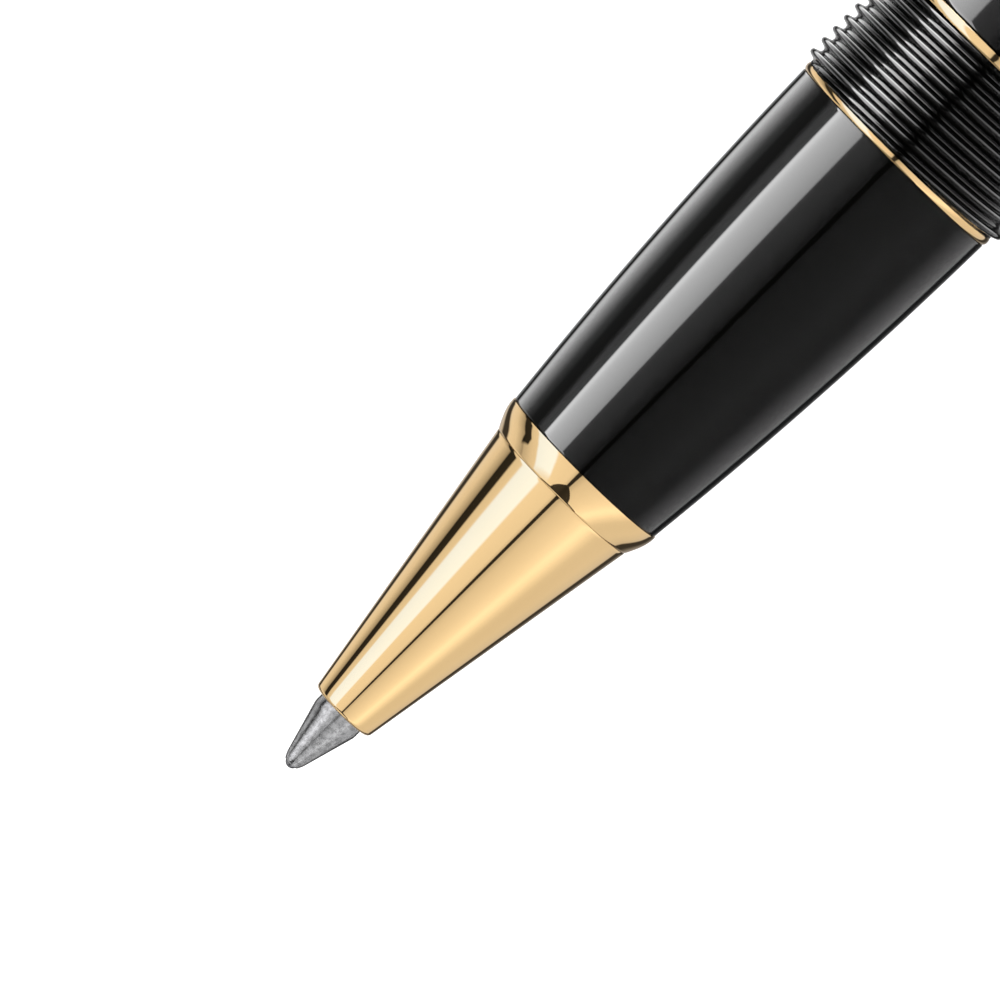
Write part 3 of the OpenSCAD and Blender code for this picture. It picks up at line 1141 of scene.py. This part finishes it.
def maths(tree, operation, *values, clamp=False):
    """One Math node; each value is a socket or a number."""
    node = tree.nodes.new("ShaderNodeMath")
    node.operation = operation
    node.use_clamp = clamp
    for i, value in enumerate(values):
        if isinstance(value, (int, float)):
            node.inputs[i].default_value = value
        else:
            tree.links.new(value, node.inputs[i])
    return node.outputs[0]


def window(tree, value, low, high, soft):
    """1 between low and high and 0 outside, with soft edges."""
    rise = ranged(tree, value, 0, 1, low - soft / 2, low + soft / 2)
    fall = ranged(tree, value, 1, 0, high - soft / 2, high + soft / 2)
    return maths(tree, "MULTIPLY", rise, fall)


def banded(tree, angle, bands):
    """Brightness from a list of (degrees, brightness)."""
    ramp = tree.nodes.new("ShaderNodeValToRGB")
    elements = ramp.color_ramp.elements
    while len(elements) > 1:
        elements.remove(elements[-1])
    low, high = bands[0][0], bands[-1][0]
    top = max(level for _, level in bands)
    for i, (degrees, level) in enumerate(bands):
        at = (degrees - low) / (high - low)
        element = elements[0] if i == 0 else elements.new(at)
        element.position = at
        element.color = (level / top, level / top, level / top, 1)
    tree.links.new(ranged(tree, angle, 0, 1, low, high), ramp.inputs["Fac"])
    return maths(tree, "MULTIPLY", ramp.outputs["Color"], top)


def tent_place(tree, radius):
    """Degrees round the pen from straight up towards -Y, and the slope along the pen."""
    coords = tree.nodes.new("ShaderNodeTexCoord")
    split = tree.nodes.new("ShaderNodeSeparateXYZ")
    tree.links.new(coords.outputs["Object"], split.inputs["Vector"])
    slope = maths(tree, "DIVIDE", split.outputs["X"], radius)
    side = maths(tree, "MULTIPLY", split.outputs["Y"], -1)
    turn = maths(tree, "ARCTAN2", side, split.outputs["Z"])
    degrees = maths(tree, "MULTIPLY", turn, 180 / math.pi)
    lean = maths(tree, "ADD", slope, 0.12)
    near = maths(tree, "MINIMUM", maths(tree, "MAXIMUM", lean, -0.35), 0.6)
    spread = maths(tree, "MULTIPLY_ADD", near, 0.2, 1)
    return maths(tree, "DIVIDE", degrees, spread), slope


def with_finish(name):
    """The mesh pieces that have one of the pen's finishes."""
    return [
        o for o in bpy.data.objects
        if o.type == "MESH" and any(m and m.name == "pen_" + name for m in o.data.materials)
    ]


# Brightness round the tent: degrees from straight up, towards the clip's side of the pen
TENT = [
    (-180, 0.6), (-159, 0.6), (-154, 0.05), (-142, 0.05), (-137.5, 0.9), (-130, 0.93),
    (-118, 0.86), (-108, 0.62), (-100, 0.4), (-98, 0.6), (-80, 0.85), (-70, 0.92), (-33, 1.06),
    (-20, 1.02), (-6, 0.98), (2, 0.6), (8, 0.72), (13, 0.86), (26, 0.95), (40, 1.05), (52, 1.17),
    (61, 1.36), (67, 1.3), (77, 1.06), (87, 0.87), (96, 0.84), (118, 0.85), (132, 0.78),
    (140, 0.7), (143, 0.05), (153, 0.05), (180, 0.6),
]
# What the softboxes add on the polished resin alone
RESIN_SIDES = [
    (-180, 0), (-148, 0), (-142, 3.8), (-133, 4.5), (-125, 4.0), (-119, 3.4), (-114, 2.5),
    (-108, 1.0), (-103, 0.7), (-98, 0.45), (-81, 0.4), (-78.5, 2.2), (-69, 3.1), (-33, 2.8),
    (-27, 1.8), (-21, 1.4), (-14, 1.0), (-9, 0.3), (-5, 0), (96, 0), (101, 0.4), (112, 0.7),
    (138, 0.7), (142, 0), (180, 0),
]
RESIN_STRIP = [
    (-69, 52), (-64.5, 51), (-61, 42), (-58, 38), (-54, 35), (-44, 29), (-33, 21), (-32, 21),
]

# What a long box past the tail adds on the flanks of the cap thread
THREAD_BOX = [
    (-180, 0), (-140, 5), (-100, 8), (-80, 9), (-70, 34), (-33, 32), (-24, 24), (-8, 12),
    (-5, 0), (4, 0), (9, 6), (40, 7), (80, 8), (120, 6), (140, 0), (180, 0),
]


class PEN_OT_studio(Operator):
    """Lays the white floor and sets up the light tent, the world and the camera"""

    bl_idname = "pen.studio"
    bl_label = "Studio"

    def execute(self, context):
        self.floor()
        self.light_tent()
        self.gold_softbox()
        self.point_softbox()
        self.resin_softboxes()
        self.thread_softbox()
        self.world()
        self.camera()
        view = context.scene.view_settings
        view.view_transform = "Standard"
        view.look = "None"
        return {"FINISHED"}

    def floor(self):
        deselect_all()
        bpy.ops.mesh.primitive_plane_add(size=40, location=(0.05, 0, CAD_BOX[0].z))
        floor = bpy.context.object
        floor.name = "floor"
        mat, tree, shader = new_material("floor_paper")
        shader.inputs["Base Color"].default_value = (0.9, 0.9, 0.9, 1)
        shader.inputs["Roughness"].default_value = 1.0
        shader.inputs["Specular IOR Level"].default_value = 0.0
        shader.inputs["Emission Color"].default_value = (1, 1, 1, 1)
        shader.inputs["Emission Strength"].default_value = 0.75
        floor.data.materials.append(mat)
        floor.visible_glossy = False

    def tube(self, name, radius):
        """A wide tube round the pen that only reflections can see, with its empty material."""
        deselect_all()
        bpy.ops.mesh.primitive_cylinder_add(
            vertices=360, radius=radius, depth=8 * radius, end_fill_type="NOTHING",
            location=(0, 0, 0), rotation=(0, math.pi / 2, 0),
        )
        tube = bpy.context.object
        tube.name = name
        bpy.ops.object.transform_apply(location=True, rotation=True, scale=True)
        tube.visible_camera = False
        tube.visible_diffuse = False
        tube.visible_transmission = False
        tube.visible_volume_scatter = False
        tube.visible_shadow = False
        mat = bpy.data.materials.new(name)
        mat.use_nodes = True
        mat.node_tree.nodes.clear()
        tube.data.materials.append(mat)
        return tube, mat.node_tree

    def light_tent(self):
        radius = bpy.context.scene.pen_studio.tent_radius
        tube, tree = self.tube("light_tent", radius)
        degrees, slope = tent_place(tree, radius)
        wall = banded(tree, degrees, TENT)
        steep = maths(tree, "MAXIMUM", maths(tree, "MULTIPLY_ADD", slope, -1, -0.5), 0)
        flag_place = maths(tree, "MULTIPLY_ADD", steep, 25, degrees)
        flag = maths(
            tree, "MULTIPLY",
            window(tree, flag_place, -99, -83, 3), window(tree, slope, -0.72, 2.5, 0.08),
        )
        wall = maths(tree, "MULTIPLY", wall, maths(tree, "MULTIPLY_ADD", flag, -0.96, 1))
        past_end = maths(tree, "MAXIMUM", maths(tree, "MULTIPLY_ADD", slope, -1, -1.02), 0)
        half_width = maths(tree, "MULTIPLY_ADD", past_end, 40, 2.2)
        from_gap = maths(tree, "ABSOLUTE", maths(tree, "ADD", degrees, -1.8))
        gap = ranged(tree, maths(tree, "SUBTRACT", from_gap, half_width), 0.05, 1, 0, 0.8)
        glow = tree.nodes.new("ShaderNodeEmission")
        tree.links.new(maths(tree, "MULTIPLY", wall, gap), glow.inputs["Strength"])
        out = tree.nodes.new("ShaderNodeOutputMaterial")
        tree.links.new(glow.outputs[0], out.inputs["Surface"])

    def gold_softbox(self):
        """The pale strip along the plate: a cool box that the gold turns to cream."""
        radius = bpy.context.scene.pen_studio.tent_radius * 0.985
        tube, tree = self.tube("gold_softbox", radius)
        degrees, slope = tent_place(tree, radius)
        box = maths(
            tree, "MULTIPLY",
            window(tree, degrees, -68, -33, 4), window(tree, slope, -1.35, 2.0, 0.4),
        )
        self.added_light(tube, tree, box, (0.14, 0.5, 1.36), with_finish("gold_plate"))

    def point_softbox(self):
        """A narrow box that puts a bright streak on the metal point."""
        radius = bpy.context.scene.pen_studio.tent_radius * 0.99
        tube, tree = self.tube("point_softbox", radius)
        degrees, slope = tent_place(tree, radius)
        box = maths(
            tree, "MULTIPLY",
            window(tree, degrees, -72, -30, 18), window(tree, slope, -1.35, 2.0, 0.4),
        )
        self.added_light(tube, tree, box, (0.8, 0.8, 0.83), with_finish("nickel_point"))

    def added_light(self, tube, tree, strength, colour, pieces):
        """Lets the rest of the tent show through, and lights only some of the pieces."""
        glow = tree.nodes.new("ShaderNodeEmission")
        glow.inputs["Color"].default_value = (*colour, 1)
        tree.links.new(strength, glow.inputs["Strength"])
        clear = tree.nodes.new("ShaderNodeBsdfTransparent")
        both = tree.nodes.new("ShaderNodeAddShader")
        tree.links.new(clear.outputs[0], both.inputs[0])
        tree.links.new(glow.outputs[0], both.inputs[1])
        out = tree.nodes.new("ShaderNodeOutputMaterial")
        tree.links.new(both.outputs[0], out.inputs["Surface"])
        lit = bpy.data.collections.new("lit_by_" + tube.name)
        for piece in pieces:
            lit.objects.link(piece)
        tube.light_linking.receiver_collection = lit

    def resin_softboxes(self):
        radius = bpy.context.scene.pen_studio.tent_radius * 0.97
        tube, tree = self.tube("resin_softboxes", radius)
        degrees, slope = tent_place(tree, radius)
        sides = maths(
            tree, "MULTIPLY",
            banded(tree, degrees, RESIN_SIDES), window(tree, slope, -1.2, 2.0, 0.3),
        )
        strip = maths(
            tree, "MULTIPLY",
            banded(tree, degrees, RESIN_STRIP), window(tree, degrees, -67.8, -33.4, 2),
        )
        strip = maths(tree, "MULTIPLY", strip, window(tree, slope, -1.1, 1.6, 0.3))
        self.added_light(
            tube, tree, maths(tree, "ADD", sides, strip), (1, 1, 1), with_finish("black_resin")
        )

    def thread_softbox(self):
        """A long box past the tail, kept to the thread so that it can't whiten the barrel."""
        radius = bpy.context.scene.pen_studio.tent_radius * 0.96
        tube, tree = self.tube("thread_softbox", radius)
        degrees, slope = tent_place(tree, radius)
        box = maths(
            tree, "MULTIPLY",
            banded(tree, degrees, THREAD_BOX), window(tree, slope, 0.45, 2.6, 0.5),
        )
        self.added_light(tube, tree, box, (1, 1, 1), [bpy.data.objects["thread_ridges"]])

    def world(self):
        world = bpy.data.worlds.new("white_room")
        bpy.context.scene.world = world
        world.use_nodes = True
        back = world.node_tree.nodes["Background"]
        back.inputs["Color"].default_value = (1, 1, 1, 1)
        back.inputs["Strength"].default_value = 1.05

    def camera(self):
        studio = bpy.context.scene.pen_studio
        data = bpy.data.cameras.new("camera")
        camera = bpy.data.objects.new("camera", data)
        bpy.context.scene.collection.objects.link(camera)
        bpy.context.scene.camera = camera
        data.sensor_width = 36
        data.lens = data.sensor_width * studio.distance / studio.frame_width
        data.clip_start = 0.01
        data.clip_end = 50
        towards = Vector((math.sin(studio.tilt), 0, math.cos(studio.tilt)))
        along = Vector((math.cos(studio.tilt), 0, -math.sin(studio.tilt)))
        across = towards.cross(along)
        right = along * math.cos(studio.roll) - across * math.sin(studio.roll)
        up = towards.cross(right)
        aim = Vector((studio.aim_x, studio.aim_y, 0))
        camera.matrix_world = Matrix.Translation(aim + towards * studio.distance) @ Matrix(
            (right, up, towards)
        ).transposed().to_4x4()


class PEN_PT_sidebar(Panel):
    bl_idname = "PEN_PT_sidebar"
    bl_label = "Rollerball Pen"
    bl_space_type = "VIEW_3D"
    bl_region_type = "UI"
    bl_category = "Pen"

    def draw(self, context):
        for group in ("pen_sizes", "pen_finishes", "pen_studio"):
            box = self.layout.box()
            settings = getattr(context.scene, group)
            for name in settings.__annotations__:
                box.prop(settings, name)
        for operator in OPERATORS:
            self.layout.operator(operator.bl_idname)


OPERATORS = (
    PEN_OT_writing_point,
    PEN_OT_nose_cone,
    PEN_OT_collar_ring,
    PEN_OT_grip,
    PEN_OT_plain_rings,
    PEN_OT_cap_thread,
    PEN_OT_section_liner,
    PEN_OT_barrel,
    PEN_OT_refill_spring,
    PEN_OT_cap_shell,
    PEN_OT_clip,
    PEN_OT_inner_parts,
    PEN_OT_studio,
)
CLASSES = (PenSizes, PenFinishes, PenStudio, *OPERATORS, PEN_PT_sidebar)


def register():
    for cls in CLASSES:
        bpy.utils.register_class(cls)
    bpy.types.Scene.pen_sizes = PointerProperty(type=PenSizes)
    bpy.types.Scene.pen_finishes = PointerProperty(type=PenFinishes)
    bpy.types.Scene.pen_studio = PointerProperty(type=PenStudio)


def unregister():
    del bpy.types.Scene.pen_studio
    del bpy.types.Scene.pen_finishes
    del bpy.types.Scene.pen_sizes
    for cls in reversed(CLASSES):
        bpy.utils.unregister_class(cls)


def main():
    register()
    bpy.ops.pen.writing_point()
    bpy.ops.pen.nose_cone()
    bpy.ops.pen.collar_ring()
    bpy.ops.pen.grip()
    bpy.ops.pen.plain_rings()
    bpy.ops.pen.cap_thread()
    bpy.ops.pen.section_liner()
    bpy.ops.pen.barrel()
    bpy.ops.pen.refill_spring()
    bpy.ops.pen.cap_shell()
    bpy.ops.pen.clip()
    bpy.ops.pen.inner_parts()
    bpy.ops.pen.studio()


if __name__ == "__main__":
    main()
